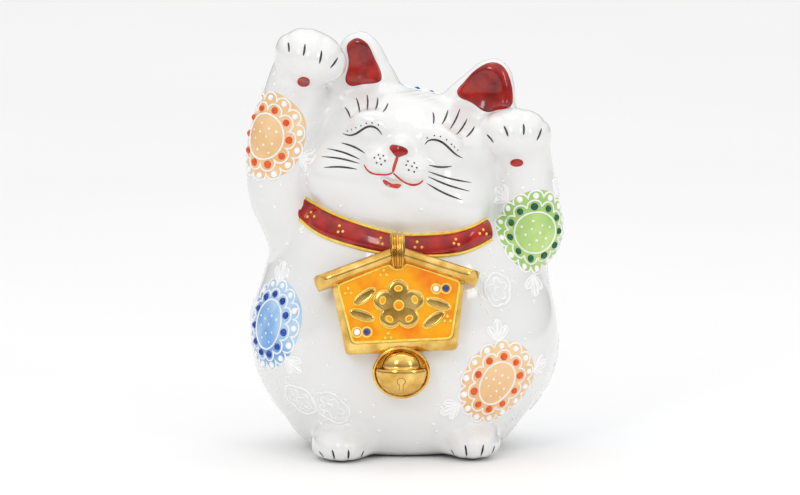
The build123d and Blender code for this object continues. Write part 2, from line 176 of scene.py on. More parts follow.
EARS = [  # right, left: sections, middle of the hollow
    ([(20, -31, 2, 22, 17), (35, -34, 2, 23, 13.5), (45, -36.5, 2, 19.3, 11), (52, -38.8, 2, 15, 9),
      (58, -40.4, 2, 11.4, 7.2), (62, -41.1, 2, 7.6, 5.2), (65, -41.2, 2, 2.5, 2)], (-39, -27, 46)),
    ([(20, 28, 2, 22, 17), (36, 31, 2, 23.5, 13.5), (46, 32.2, 2, 19.8, 11), (55, 34.2, 2, 15.2, 9),
      (61.5, 35, 2, 11.4, 7.2), (65.8, 35.3, 2, 7.6, 5.2), (68.8, 35.3, 2, 2.5, 2)], (31.5, -26.5, 49)),
]
RIGHT_FORELEG = [(100, -54, -6, 12, 12), (112, -58, -8, 16, 16), (124, -61, -9, 18, 18),
                 (136, -65.5, -10, 19, 18.5), (149, -68, -11, 19.5, 18.5), (165, -68.5, -12, 19, 18),
                 (182, -67, -12.5, 18.6, 16.5), (197, -62.8, -13, 18.2, 15), (209, -59.7, -14, 17.2, 13),
                 (219, -57.4, -16, 16, 12.5), (228, -56.3, -17, 14, 11.5), (235, -55.5, -18, 11.2, 8.5),
                 (239, -55, -18, 4, 4)]
LEFT_FORELEG = [(98, 60, -6, 12, 13), (108, 66, -8, 17, 16), (118, 69.6, -9, 19, 17.5),
                (130, 71.3, -10, 18.4, 18), (143, 70.5, -11, 17.4, 17.5), (157, 68.5, -12, 17, 17),
                (168, 66.6, -14, 16.9, 16), (177, 65.3, -17, 17.6, 14), (184, 64, -19, 16, 11),
                (189, 62.5, -20, 9, 7)]

# Lumps on the body: middle, radii, turn about x, y and z, and the width of the fillet round them.
HAUNCHES = [((side * 56 + 1, -6, 62), (28.5, 42, 35), (0, 0, 0), 10) for side in (-1, 1)]
RIGHT_PAW = ((-51.6, -21, 224.6), (20.5, 18.5, 15), (0, 19, 0), 3.5)
LEFT_PAW = ((62.6, -22, 181.4), (20.2, 16.5, 14.4), (0, 0, 0), 4)
FORELEG_REST = ((-45, -2, 183), (13, 15, 24), (0, 0, 0), 6)  # where the raised foreleg meets the head
HIND_FEET = [((-34, -42, 8.6), (17.8, 25, 12), (0, 0, -4), 8),
             ((38, -38.5, 9.4), (17, 24, 11.2), (0, 0, 5), 8)]
TAIL = ((14, 60.5, 24), (12, 12, 16), (-18, 8, 0), 5)
# Lumps of the face, in the head's own frame: middle, radii and fillet.
FACE = []
for side in (-1, 1):
    FACE += [((side * 29, -27, -14), (23, 19, 17), 8),  # cheek
             ((side * 20, -38, 21), (10, 5, 5.5), 8),  # lid
             ((side * 8.5, -44.5, 2), (11, 8.5, 8), 4)]  # half of the muzzle
FACE += [((0, -44, -9.5), (7, 7.5, 5), 4),  # chin
         ((0, -47.5, 11), (6, 6, 7), 5)]  # bridge of the nose
LIP_GAP, LIP_GAP_RADII = (0, -52, -6.2), (10, 4, 1.3)
EAR_HOLLOW_RADII = (24, 25, 26)
BASE_ROUNDING = 5
# Soft reliefs along painted lines: depth and width.
TOE_CREASE, LID_SWELL, MOUTH_CREASE = (0.6, 1.9), (0.95, 3.5), (0.55, 1.4)
FRONT = -14  # reliefs lie in front of this y

# Lines in the front view: across and up.
TOES = [((-64.4, 227.9), (-63.8, 221.4)), ((-54.8, 227.0), (-55.9, 219.1)),
        ((-45.5, 223.3), (-46.9, 214.9)), ((-36.2, 219.3), (-41.0, 212.6)),
        ((46.5, 176.3), (51.0, 170.9)), ((56.2, 181.2), (58.9, 174.2)), ((67.4, 182.4), (67.4, 174.9)),
        ((77.8, 179.9), (74.7, 172.1)), ((-47.4, -1.2), (-43.2, -7.0)), ((-39.8, -0.2), (-38.3, -7.4)),
        ((-30.5, -0.2), (-31.0, -7.4)), ((-22.0, -1.0), (-24.9, -7.0)), ((26.5, -0.5), (29.3, -5.0)),
        ((34.6, 2.5), (35.6, -5.2)), ((45.1, 2.8), (43.4, -4.9)), ((51.4, 1.9), (49.4, -3.6))]
LIDS = [[(-32.5, 181.5), (-26.5, 184.5), (-18.5, 187.5), (-11.5, 185.5), (-7.8, 179.5)],
        [(10.5, 178.0), (15.5, 180.5), (22.0, 179.5), (28.5, 174.5), (35.0, 168.0)]]
MOUTH_LINES = [[(-21.8, 159.0), (-20.2, 156.2), (-17.4, 154.2), (-12.0, 153.3), (-7.7, 153.6), (-5.7, 154.4)],
               [(-5.7, 154.4), (-1.3, 150.5), (1.6, 148.7), (4.6, 147.6), (8.8, 148.2), (11.3, 150.2)],
               [(-3.1, 163.4), (-4.1, 160.2), (-5.2, 156.6), (-5.7, 154.4)]]
ACROSS, UP = X, Z * math.cos(VIEW_RISE) + Y * math.sin(VIEW_RISE)  # places in the front view


def on_head(place):
    """A point of the head's own frame."""
    return tuple(np.array(HEAD_CENTRE) + HEAD_TURN @ np.array(place, float))


def relief(line, depth, width):
    """Full depth on a line in the front view, fading to nothing about a width away from it."""
    line = np.asarray(line, float)
    gap = np.full(X.shape, 1e6, np.float32)
    for (x0, y0), (x1, y1) in zip(line[:-1], line[1:]):
        dx, dy = x1 - x0, y1 - y0
        t = np.clip(((ACROSS - x0) * dx + (UP - y0) * dy) / (dx * dx + dy * dy), 0, 1)
        gap = np.minimum(gap, (ACROSS - x0 - t * dx) ** 2 + (UP - y0 - t * dy) ** 2)
    return depth * (np.exp(-gap / width**2) * (Y < FRONT))


def toe_creases():
    """Soft creases that run on above each painted toe stroke."""
    total = 0.0
    for start, stop in TOES:
        start, stop = np.array(start), np.array(stop)
        total = total + relief([start + (start - stop) * 0.9, stop], *TOE_CREASE)
    return total


def lumpy(body, lumps):
    """The body with ellipsoids joined to it."""
    for middle, radii, turn, fillet in lumps:
        body = join(body, ellipsoid(middle, radii, rotation(*turn)), fillet)
    return body


def sculpt():
    """The whole body's distance field on the grid. Each join or cut ends with its fillet's width."""
    head = stacked(HEAD, HEAD_CENTRE, HEAD_TURN)
    for middle, radii, fillet in FACE:
        head = join(head, ellipsoid(on_head(middle), radii, HEAD_TURN), fillet)
    head = cut(head, ellipsoid(on_head(LIP_GAP), LIP_GAP_RADII, HEAD_TURN), 1.5)
    for sections, hollow in EARS:
        ear = stacked(sections, HEAD_CENTRE, HEAD_TURN)
        pocket = ellipsoid(on_head(hollow), EAR_HOLLOW_RADII, HEAD_TURN)
        head = join(head, cut(ear, pocket, 2.5), 9)
    body = join(lumpy(stacked(TORSO), HAUNCHES), head, 4)
    body = join(body, lumpy(stacked(RIGHT_FORELEG), [RIGHT_PAW]), 5)
    body = lumpy(body, [FORELEG_REST])
    body = join(body, lumpy(stacked(LEFT_FORELEG), [LEFT_PAW]), 5)
    body = lumpy(body, [*HIND_FEET, TAIL]) + toe_creases()
    for lid in LIDS:
        body = body - relief(lid, *LID_SWELL)
    for line in MOUTH_LINES[:2]:
        body = body + relief(line, *MOUTH_CREASE)
    return cut(body, Z, BASE_ROUNDING)


field = sculpt().astype(np.float32)
slopes = [g.astype(np.float32) for g in np.gradient(field, GRID)]


def sample(grid, points):
    """Trilinear lookup of one or more grids at points in millimetres."""
    place = np.clip((points - LOW) / GRID, 0, counts - 1.001)
    base = place.astype(int)
    t = place - base
    total = 0.0
    for i in (0, 1):
        for j in (0, 1):
            for k in (0, 1):
                weight = (np.where(i, t[:, 0], 1 - t[:, 0]) * np.where(j, t[:, 1], 1 - t[:, 1])
                          * np.where(k, t[:, 2], 1 - t[:, 2]))
                total = total + weight * grid[base[:, 0] + i, base[:, 1] + j, base[:, 2] + k]
    return total


def slope_at(points):
    """The field's slope at points, along each axis."""
    return np.stack([sample(g, points) for g in slopes], axis=1)


def outward(points):
    """The glaze's outward directions at points on it."""
    return unit(slope_at(points))


def settle(points, rounds=4):
    """Moves points onto the glaze along its own slope."""
    for _ in range(rounds):
        slope = slope_at(points)
        size = np.maximum((slope**2).sum(axis=1, keepdims=True), 0.05)
        points = points - sample(field, points)[:, None] * slope / size
    return points


def strike(starts, heading):
    """Where rays from outside first meet the glaze."""
    points = np.array(starts, float)
    heading = np.broadcast_to(np.asarray(heading, float), points.shape)
    for _ in range(90):
        gap = sample(field, points)
        points = points + heading * np.clip(gap * 0.8, -2, 6)[:, None]
    return points


def skin(values):
    """Surface nets: one vertex for each cell that the surface crosses, one quad for each edge."""
    inside = values < 0
    corner = [(i, j, k) for i in (0, 1) for j in (0, 1) for k in (0, 1)]
    n = np.array(values.shape) - 1
    total = sum(inside[i : i + n[0], j : j + n[1], k : k + n[2]].astype(np.int8)
                for i, j, k in corner)
    cells = np.argwhere((total > 0) & (total < 8))
    number = -np.ones(n, int)
    number[tuple(cells.T)] = np.arange(len(cells))
    place, hits = np.zeros((len(cells), 3)), np.zeros(len(cells))
    for a in corner:
        for axis in range(3):
            if a[axis]:
                continue
            b = list(a)
            b[axis] = 1
            va = values[tuple((cells + a).T)]
            vb = values[tuple((cells + b).T)]
            crossing = (va < 0) != (vb < 0)
            t = np.where(crossing, va / np.where(va == vb, 1, va - vb), 0)
            spot = np.tile(np.array(a, float), (len(cells), 1))
            spot[:, axis] = t
            place[crossing] += spot[crossing]
            hits[crossing] += 1
    points = LOW + GRID * (cells + place / hits[:, None])
    quads = []
    for axis in range(3):
        first = [slice(1, -1)] * 3
        first[axis] = slice(0, -1)
        second = list(first)
        second[axis] = slice(1, None)
        low, high = inside[tuple(first)], inside[tuple(second)]
        edges = np.argwhere(low != high)
        flip = low[tuple(edges.T)]
        start = edges + [0 if i == axis else 1 for i in range(3)]
        u, v = [(1, 2), (2, 0), (0, 1)][axis]
        step_u, step_v = np.eye(3, dtype=int)[u], np.eye(3, dtype=int)[v]
        ring = [number[tuple((start - d).T)] for d in (0 * step_u, step_u, step_u + step_v, step_v)]
        quad = np.stack(ring, axis=1)
        quad[~flip] = quad[~flip][:, ::-1]
        quads.append(quad)
    return points, np.concatenate(quads)


# ---- building pieces ----


def piece(name, points, faces, material, stands_for=()):
    """A smooth mesh object that rides on the figurine; points in millimetres."""
    mesh = bpy.data.meshes.new(name)
    mesh.from_pydata((np.asarray(points, float) * MM).tolist(), [], [list(f) for f in faces])
    mesh.validate()
    mesh.update()
    mesh.polygons.foreach_set("use_smooth", [True] * len(mesh.polygons))
    mesh.materials.append(material)
    made = bpy.data.objects.new(name, mesh)
    bpy.context.scene.collection.objects.link(made)
    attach(made, "root")
    if stands_for:
        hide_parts(*stands_for)


class Build:
    """Gathers many small shapes into one mesh."""

    def __init__(self):
        self.points, self.faces = [], []

    def add(self, points, faces):
        """Takes in one shape; its faces count its own points from 0."""
        start = sum(len(p) for p in self.points)
        self.points.append(np.asarray(points, float))
        self.faces.extend([tuple(int(i) + start for i in f) for f in faces])

    def add_rings(self, rings):
        """A surface through closed rings that have the same number of points."""
        self.add(np.concatenate(rings), grid_faces(len(rings), len(rings[0]), closed=True))

    def finish(self, name, material, slot=None, stands_for=()):
        """Makes all that was gathered into one piece."""
        piece(name, np.concatenate(self.points), self.faces, material, stands_for)


def grid_faces(rows, columns, closed=False, looped=False):
    """Quads over a grid of points, closed round its columns or looped round its rows if asked."""
    return [(r * columns + c, r * columns + (c + 1) % columns,
             (r + 1) % rows * columns + (c + 1) % columns, (r + 1) % rows * columns + c)
            for r in range(rows if looped else rows - 1)
            for c in range(columns if closed else columns - 1)]


def end_faces(rows, columns):
    """One face over the first row of a grid and one over its last."""
    return [tuple(range(columns)), tuple((rows - 1) * columns + c for c in reversed(range(columns)))]


def circle(count, side, axis):
    """Points round a unit circle that starts at side and turns about an axis."""
    turn = 2 * math.pi * np.arange(count) / count
    return np.outer(np.cos(turn), side) + np.outer(np.sin(turn), np.cross(axis, side))


def headings(points, closed):
    """The direction of a line at each of its points."""
    ahead = np.roll(points, -1, axis=0) - np.roll(points, 1, axis=0)
    if not closed:
        ahead[0], ahead[-1] = points[1] - points[0], points[-1] - points[-2]
    return unit(ahead)


def bead(build, point, normal, radius, height):
    """A drop of enamel that has rounded over, standing on the glaze."""
    rings, spokes = 6, 14
    normal = unit(normal)
    flat = circle(spokes, unit(np.cross(normal, (0.3, 0.1, 1.0))), normal) * radius
    rows = [point + flat * math.cos(rise) + normal * height * math.sin(rise)
            for rise in np.radians(-18 + 108 * np.arange(rings) / rings)]
    last, top = (rings - 1) * spokes, rings * spokes
    build.add([*np.concatenate(rows), point + normal * height], grid_faces(rings, spokes, closed=True)
              + [(last + s, last + (s + 1) % spokes, top) for s in range(spokes)])


# Across a trailed line, in half widths, and up it, in heights.
TRAIL_ACROSS = np.array([-1.0, -0.86, -0.5, 0.0, 0.5, 0.86, 1.0])
TRAIL_UP = np.array([0.0, 0.52, 0.86, 1.0, 0.86, 0.52, 0.0])
BLUNT = 0.45  # the thickness left at a trailed line's very ends


def trail(build, points, width, height, closed=False, taper=0.0, sink=0.25):
    """A trailed line: a rounded ridge that follows the glaze. Taper thins its two ends."""
    points = np.asarray(points, float)
    normals = outward(points)
    sides = unit(np.cross(headings(points, closed), normals))
    count = len(points)
    scale = np.ones(count)
    if not closed:
        place = np.arange(count)
        inward = np.minimum(place, count - 1 - place) / max(1, (count - 1) / 2)  # 0 at the ends, 1 midway
        scale = 1 - taper + taper * np.sin(np.minimum(1, inward * 1.3) * math.pi / 2)
        scale[[0, -1]] *= BLUNT
    across = np.outer(scale, TRAIL_ACROSS * width / 2)[..., None] * sides[:, None]
    lift = (np.outer(scale, TRAIL_UP * (height + sink)) - sink)[..., None] * normals[:, None]
    rows = points[:, None] + across + lift
    faces = grid_faces(count, len(TRAIL_UP), looped=closed)
    build.add(rows.reshape(-1, 3), faces if closed else faces + end_faces(count, len(TRAIL_UP)))


def tube(build, points, radius, closed=False):
    """A round cord of enamel along points in space."""
    points = np.asarray(points, float)
    ahead = headings(points, closed)
    side = unit(np.cross(ahead[0], (0.1, 0.2, 1.0)))
    count, spokes = len(points), 8
    rows = []
    for point, heading in zip(points, ahead):
        side = unit(side - heading * np.dot(side, heading))
        rows.append(point + circle(spokes, side, heading) * radius)
    faces = grid_faces(count, spokes, closed=True)
    if closed:  # the last ring meets the first where their points lie nearest
        last = (count - 1) * spokes
        shift = int(np.argmin(np.linalg.norm(rows[-1][0] - rows[0], axis=1)))
        faces += [(last + s, last + (s + 1) % spokes, (s + 1 + shift) % spokes, (s + shift) % spokes)
                  for s in range(spokes)]
    else:
        faces += end_faces(count, spokes)
    build.add(np.concatenate(rows), faces)


def curve(points, count, closed=False):
    """A smooth line through points of any dimension."""
    points = np.asarray(points, float)
    if closed:
        points = np.vstack([points[-2:], points, points[:3]])
    length = np.concatenate([[0], np.cumsum(np.linalg.norm(np.diff(points, axis=0), axis=1))])
    low, high = (length[2], length[-3]) if closed else (0, length[-1])
    at = np.linspace(low, high, count, endpoint=not closed)
    return np.stack([spline(length, points[:, i], at) for i in range(points.shape[1])], axis=1)


def seen(places):
    """Points on the glaze at places (across, up) in the front view."""
    across, up = np.asarray(places, float).T
    down, level = math.sin(VIEW_RISE), math.cos(VIEW_RISE)
    heading = np.array([0, level, -down])
    return strike(np.stack([across, up * down, up * level], axis=1) - heading * RAY_START, heading)


class Chart:
    """Distances and bearings over the glaze from one point on it."""

    STEP, SPOKES = 0.5, 96

    def __init__(self, start, reach, up=(0, 0, 1)):
        start = settle(np.array([start], float))
        normal = outward(start)[0]
        heading = circle(self.SPOKES, unit(np.cross(up, normal)), normal)
        rows = [np.repeat(start, self.SPOKES, axis=0)]
        for _ in range(int(reach / self.STEP) + 3):
            moved = settle(rows[-1] + heading * self.STEP, 2)
            normals = outward(moved)
            heading = moved - rows[-1]
            heading = unit(heading - (heading * normals).sum(axis=1, keepdims=True) * normals)
            rows.append(moved)
        self.table = np.array(rows)

    def at(self, places):
        """Points for places (along, up) on the flattened patch."""
        places = np.asarray(places, float)
        radius = np.hypot(places[:, 0], places[:, 1]) / self.STEP
        bearing = np.arctan2(places[:, 1], places[:, 0]) / (2 * math.pi) * self.SPOKES
        row = np.clip(radius.astype(int), 0, len(self.table) - 2)
        t = (radius - row)[:, None]
        low = np.floor(bearing).astype(int)
        s = (bearing - low)[:, None]
        a, b = low % self.SPOKES, (low + 1) % self.SPOKES
        near = self.table[row, a] * (1 - s) + self.table[row, b] * s
        far = self.table[row + 1, a] * (1 - s) + self.table[row + 1, b] * s
        return settle(near * (1 - t) + far * t, 2)


def coat(build, rings, thickness):
    """A layer of enamel over rings of points on the glaze, from the middle to a thin edge."""
    lifts = [thickness] * (len(rings) - 2) + [0.75 * thickness, -TUCK]
    build.add_rings([ring + outward(ring) * lift for ring, lift in zip(rings, lifts)])


def blot(build, outline, thickness, rings=12):
    """Enamel over the inside of an outline in the front view, round its middle."""
    outline = np.asarray(outline, float)
    middle = outline.mean(axis=0)
    steps = [*np.linspace(0.01, 0.97, rings - 1), 1.0]
    coat(build, [seen(middle + (outline - middle) * s) for s in steps], thickness)


# ---- materials ----
GLASS_IOR, COAT_ROUGHNESS = 1.5, 0.05
SINK_DEPTH, BUMP_DEPTH = 0.004, 0.0006  # how far light sinks in and how high bumps stand, in metres


def finish_of(name, light, dark, grain, rough, metal=0.0, clear=0.0, bump=0.0, sink=0.0,
              contrast=(0.35, 0.7)):
    """A glossy fired finish whose colour and roughness drift between two values."""
    made = bpy.data.materials.new(name)
    made.use_nodes = True
    nodes, links = made.node_tree.nodes, made.node_tree.links
    shader = nodes["Principled BSDF"]
    shader.inputs["Metallic"].default_value = metal
    shader.inputs["Coat Weight"].default_value = clear
    shader.inputs["Coat Roughness"].default_value = COAT_ROUGHNESS
    shader.inputs["IOR"].default_value = GLASS_IOR
    if sink:
        shader.inputs["Subsurface Weight"].default_value = sink
        shader.inputs["Subsurface Scale"].default_value = SINK_DEPTH
    place = nodes.new("ShaderNodeTexCoord")
    cloud = nodes.new("ShaderNodeTexNoise")
    cloud.inputs["Scale"].default_value = grain
    cloud.inputs["Detail"].default_value = 4.0
    links.new(place.outputs["Object"], cloud.inputs["Vector"])
    ramp = nodes.new("ShaderNodeValToRGB")
    ramp.color_ramp.elements[0].position, ramp.color_ramp.elements[1].position = contrast
    ramp.color_ramp.elements[0].color = (*dark, 1)
    ramp.color_ramp.elements[1].color = (*light, 1)
    links.new(cloud.outputs["Fac"], ramp.inputs["Fac"])
    links.new(ramp.outputs["Color"], shader.inputs["Base Color"])
    wear = nodes.new("ShaderNodeMapRange")
    wear.inputs["To Min"].default_value, wear.inputs["To Max"].default_value = rough
    links.new(cloud.outputs["Fac"], wear.inputs["Value"])
    links.new(wear.outputs["Result"], shader.inputs["Roughness"])
    if bump:
        bumps = nodes.new("ShaderNodeBump")
        bumps.inputs["Strength"].default_value = bump
        bumps.inputs["Distance"].default_value = BUMP_DEPTH
        links.new(cloud.outputs["Fac"], bumps.inputs["Height"])
        links.new(bumps.outputs["Normal"], shader.inputs["Normal"])
    return made


GLAZE = finish_of("porcelain_glaze", (0.87, 0.87, 0.86), (0.84, 0.84, 0.83), 14, (0.08, 0.14),
                  clear=0.4, sink=0.04)

# ---- body ----
BODY_NODES = ("torso", "head", "right_foreleg", "left_foreleg", "right_ear", "left_ear",
              "right_hind_foot", "left_hind_foot", "tail")
body_points, body_faces = skin(field)
piece("porcelain_body", settle(body_points, 3), body_faces, GLAZE, BODY_NODES)

# ---- enamels and gold ----
RED = finish_of("red_enamel", (0.56, 0.020, 0.012), (0.26, 0.006, 0.006), 120, (0.08, 0.2), clear=0.15)
DARK_RED = finish_of("dark_red_enamel", (0.52, 0.022, 0.012), (0.18, 0.003, 0.004), 90, (0.08, 0.2),
                     clear=0.15)
YELLOW = finish_of("yellow_trail", (1.0, 0.83, 0.16), (0.92, 0.60, 0.05), 260, (0.12, 0.25), clear=0.2)
WHITE = finish_of("white_trail", (1.0, 1.0, 1.0), (0.96, 0.96, 0.955), 200, (0.12, 0.22), clear=0.3)
INK = finish_of("painted_strokes", (0.075, 0.06, 0.055), (0.02, 0.017, 0.016), 300, (0.2, 0.35))
MOUTH = finish_of("mouth_stroke", (0.66, 0.055, 0.02), (0.46, 0.02, 0.012), 300, (0.1, 0.2), clear=0.1)
GOLD = finish_of("gilding", (0.96, 0.67, 0.22), (0.62, 0.35, 0.07), 110, (0.10, 0.25), metal=1.0,
                 bump=0.08)
PANEL = finish_of("orange_panel", (1.0, 0.43, 0.004), (0.90, 0.15, 0.002), 55, (0.08, 0.18),
                  contrast=(0.30, 0.56))
BEADS = {
    "peach": finish_of("orange_beads", (0.93, 0.14, 0.008), (0.74, 0.06, 0.004), 300, (0.06, 0.12)),
    "blue": finish_of("blue_beads", (0.012, 0.09, 0.52), (0.005, 0.03, 0.28), 300, (0.06, 0.12)),
    "green": finish_of("green_beads", (0.010, 0.16, 0.060), (0.004, 0.07, 0.025), 300, (0.06, 0.12)),
}
FIELDS = {
    "peach": finish_of("peach_field", (0.95, 0.66, 0.36), (0.84, 0.47, 0.19), 45, (0.1, 0.2),
                       clear=0.2, contrast=(0.3, 0.62)),
    "blue": finish_of("blue_field", (0.50, 0.71, 0.92), (0.15, 0.38, 0.80), 45, (0.1, 0.2),
                      clear=0.2, contrast=(0.34, 0.6)),
    "green": finish_of("green_field", (0.57, 0.76, 0.27), (0.31, 0.58, 0.12), 45, (0.1, 0.2),
                       clear=0.2, contrast=(0.34, 0.62)),
}

# ---- ears, nose, lip and pads ----
EAR_OUTLINES = {
    "right_ear": [(-31.6, 226.6), (-28.9, 229.6), (-25.4, 230.7), (-23.2, 229.9), (-19.7, 227.0),
                  (-17.4, 222.7), (-15.1, 217.5), (-11.9, 209.4), (-12.2, 206.8), (-15.1, 205.1),
                  (-23.2, 204.3), (-30.4, 203.8), (-31.9, 205.0), (-31.5, 212.3), (-31.1, 221.0)],
    "left_ear": [(31.4, 197.3), (30.2, 199.6), (33.8, 205.4), (38.4, 210.6), (44.2, 214.9),
                 (48.8, 216.8), (52.8, 216.6), (56.9, 214.0), (59.5, 209.4), (61.2, 203.7),
                 (61.9, 198.5), (61.5, 193.3), (60.0, 191.4), (53.4, 189.7), (47.6, 188.6),
                 (44.2, 189.8), (40.7, 192.4), (35.5, 195.3)],
}
for ear, outline in EAR_OUTLINES.items():
    lining = Build()
    blot(lining, curve(outline, 72, closed=True), 0.5, rings=18)
    lining.finish(f"{ear}_red_lining", DARK_RED, "dark_red_enamel", [f"{ear}_lining"])

nose = Build()
NOSE_OUTLINE = [(-7.4, 168.1), (-6.7, 169.5), (-4.9, 169.9), (-2.3, 169.4), (1.2, 168.1), (2.5, 166.7),
                (2.3, 164.9), (-0.2, 163.8), (-2.7, 163.0), (-4.5, 163.8), (-5.9, 165.6)]
blot(nose, curve(NOSE_OUTLINE, 40, closed=True), 0.7)
nose.finish("nose_enamel", RED, "red_enamel", ["nose"])

lip = Build()
LIP_OUTLINE = [(-11.4, 150.1), (-7.7, 148.6), (-3.4, 147.8), (-1.0, 147.3), (-1.6, 146.3), (-4.9, 145.8),
               (-8.5, 146.9), (-11.0, 148.9)]
blot(lip, curve(LIP_OUTLINE, 40, closed=True), 0.5)
lip.finish("lip_enamel", MOUTH, "red_enamel", ["lip"])

PADS = [(-55.7, 205.4, 3.6, 2.7), (63.8, 160.1, 3.7, 2.2)]  # across, up, half width, half height
pads = Build()
for across, up, half_across, half_up in PADS:
    turn = np.linspace(0, 2 * math.pi, 32, endpoint=False)
    blot(pads, np.stack([across + half_across * np.cos(turn), up + half_up * np.sin(turn)], 1), 0.5)
pads.finish("paw_pad_enamel", DARK_RED, "dark_red_enamel", ["paw_pads"])


# ---- painted strokes ----


def stroke(build, places, width, height=0.3, taper=0.75):
    """A brush stroke through places in the front view, thinner at its ends."""
    places = np.asarray(places, float)
    length = np.linalg.norm(np.diff(places, axis=0), axis=1).sum()
    points = seen(curve(places, max(6, int(length / 0.8))))
    points = settle(points[np.abs(sample(field, points)) < 1.0], 2)  # without those that missed
    trail(build, points, width, height, taper=taper, sink=0.12)


def dot(build, places, radius, height):
    """Small round drops at places in the front view."""
    points = seen(places)
    for point, normal in zip(points, outward(points)):
        bead(build, point, normal, radius, height)


mouth = Build()
for line, width in zip(MOUTH_LINES, (1.5, 1.5, 1.9)):
    stroke(mouth, line, width, 0.42, 0.2)
mouth.finish("mouth_stroke_line", MOUTH, "red_enamel", ["mouth_line"])

LID_LINES = [[(-34.1, 176.6), (-29.4, 175.4), (-24.3, 177.5), (-18.6, 180.3), (-15.0, 179.3), (-11.5, 175.1)],
             [(12.1, 169.8), (13.8, 172.0), (16.7, 172.8), (21.1, 171.7), (26.1, 167.7), (29.7, 164.5),
              (33.7, 162.5)]]
LASHES = [((-33.0, 191.9), (-29.4, 184.6)), ((-26.5, 197.3), (-24.4, 187.2)),
          ((-20.3, 199.1), (-20.3, 188.6)), ((-14.2, 197.3), (-15.7, 189.0)),
          ((-8.3, 194.0), (-11.7, 187.9)), ((16.6, 189.0), (16.9, 181.2)),
          ((25.4, 190.4), (21.5, 181.1)), ((32.2, 191.1), (26.1, 178.5)),
          ((36.3, 185.4), (29.9, 175.6)), ((40.5, 181.1), (35.0, 174.0))]
WHISKERS = [((-35.3, 171.4), (-20.7, 164.9)), ((-43.4, 168.2), (-23.6, 161.6)),
            ((-46.7, 163.6), (-23.7, 159.3)), ((-44.9, 157.3), (-25.0, 156.2)),
            ((27.9, 158.1), (13.9, 158.7)), ((39.1, 148.8), (13.4, 155.3)),
            ((38.0, 143.9), (13.2, 152.6)), ((33.7, 138.9), (12.4, 149.0))]
LID_DOTS = [(-31.2, 177.8), (-28.8, 178.6), (-26.4, 179.6), (-23.6, 180.7), (-20.5, 182.0), (-17.3, 182.2),
            (-13.7, 181.1), (13.5, 173.8), (17.5, 175.1), (20.9, 174.6), (24.3, 172.8), (27.1, 170.2),
            (28.7, 168.7), (30.6, 167.0)]
WHISKER_DOTS = [(-16.0, 162.7), (-13.7, 164.3), (-11.0, 163.8), (-12.9, 162.2), (-10.1, 161.0),
                (-14.7, 159.8), (-12.2, 158.9), (2.7, 160.7), (6.3, 159.8), (1.8, 158.6), (5.0, 157.9),
                (7.7, 157.1), (3.2, 155.8), (6.2, 154.8)]
ink = Build()
for line in LID_LINES:
    stroke(ink, line, 1.35, taper=0.6)
for lines, width, bow in ((LASHES, 1.1, 0.5), (WHISKERS, 1.15, 0.9), (TOES, 1.4, 0.25)):
    for start, stop in lines:
        start, stop = np.array(start), np.array(stop)
        across = unit([start[1] - stop[1], stop[0] - start[0]])
        stroke(ink, [start, (start + stop) / 2 + across * bow, stop], width)
dot(ink, LID_DOTS, 0.45, 0.3)
dot(ink, WHISKER_DOTS, 0.55, 0.3)
ink.finish("painted_strokes", INK)

# ---- collar ----
COLLAR_UPPER = [(-54.6, 140.4), (-42.0, 133.2), (-29.4, 127.8), (-15.0, 123.1), (1.0, 119.8), (12.4, 119.9),
                (24.3, 120.8), (32.2, 122.4), (40.1, 125.3), (46.8, 129.0)]
COLLAR_LOWER = [(-57.9, 128.5), (-48.8, 121.2), (-36.6, 115.8), (-25.8, 112.6), (-12.0, 109.4), (2.0, 108.0),
                (15.7, 107.8), (26.3, 108.4), (36.2, 110.6), (49.3, 117.0)]
COLLAR_THICK, COLLAR_ROWS = 2.4, 13
NAPE, NAPE_TILT, NAPE_HALF = 139.5, 6.6, 5.6  # the collar's height behind, its slope and half its width
CLUSTER = [(0.0, 1.5), (-1.7, -1.1), (1.7, -1.1)]
COLLAR_CLUSTERS = [(-52.0, 131.0), (-35.1, 122.9), (-12.4, 115.9), (8.4, 114.0), (29.7, 115.6), (45.0, 121.2)]


def collar(name, low, high, away, band_nodes, trim_nodes):
    """A cushion-shaped band between two lines on the glaze, with a yellow line on each edge."""
    rows = []
    for t in np.linspace(0, 1, COLLAR_ROWS):
        bulge = COLLAR_THICK * (1 - abs(2 * t - 1) ** 3) - TUCK * (t in (0, 1))
        rows.append(low * (1 - t) + high * t + away * bulge)
    rows = np.array(rows)
    band, trim = Build(), Build()
    band.add(rows.reshape(-1, 3), grid_faces(*rows.shape[:2]))
    for end in (0, -1):
        face = rows[:, end]
        band.add(np.concatenate([face, face - away[end] * 3]), grid_faces(2, COLLAR_ROWS))
    band.finish(f"{name}_band", RED, "red_enamel", band_nodes)
    for line in (low, high):
        tube(trim, line + away * 0.45, 0.85)
    trim.finish(f"{name}_trim", YELLOW, "yellow_trail", trim_nodes)
    return rows


high, low = seen(curve(COLLAR_UPPER, 90)), seen(curve(COLLAR_LOWER, 90))
middles = (high + low) / 2
away = unit(np.stack([middles[:, 0] * 0.9, middles[:, 1], 0 * middles[:, 0]], 1))
away = unit(away + [0, 0, 0.12])
front_band = collar("collar_front", low, high, away, ["collar_band"],
                    ["collar_trim_upper", "collar_trim_lower"])
turn = np.radians(np.linspace(-66, 66, 100))
back = np.stack([np.sin(turn), np.cos(turn), 0 * turn], 1)
edges = [strike(back * 110 + np.outer(NAPE - NAPE_TILT * back[:, 0] + side * NAPE_HALF, (0, 0, 1)), -back)
         for side in (-1, 1)]
collar("collar_back", *edges, back, [], [])

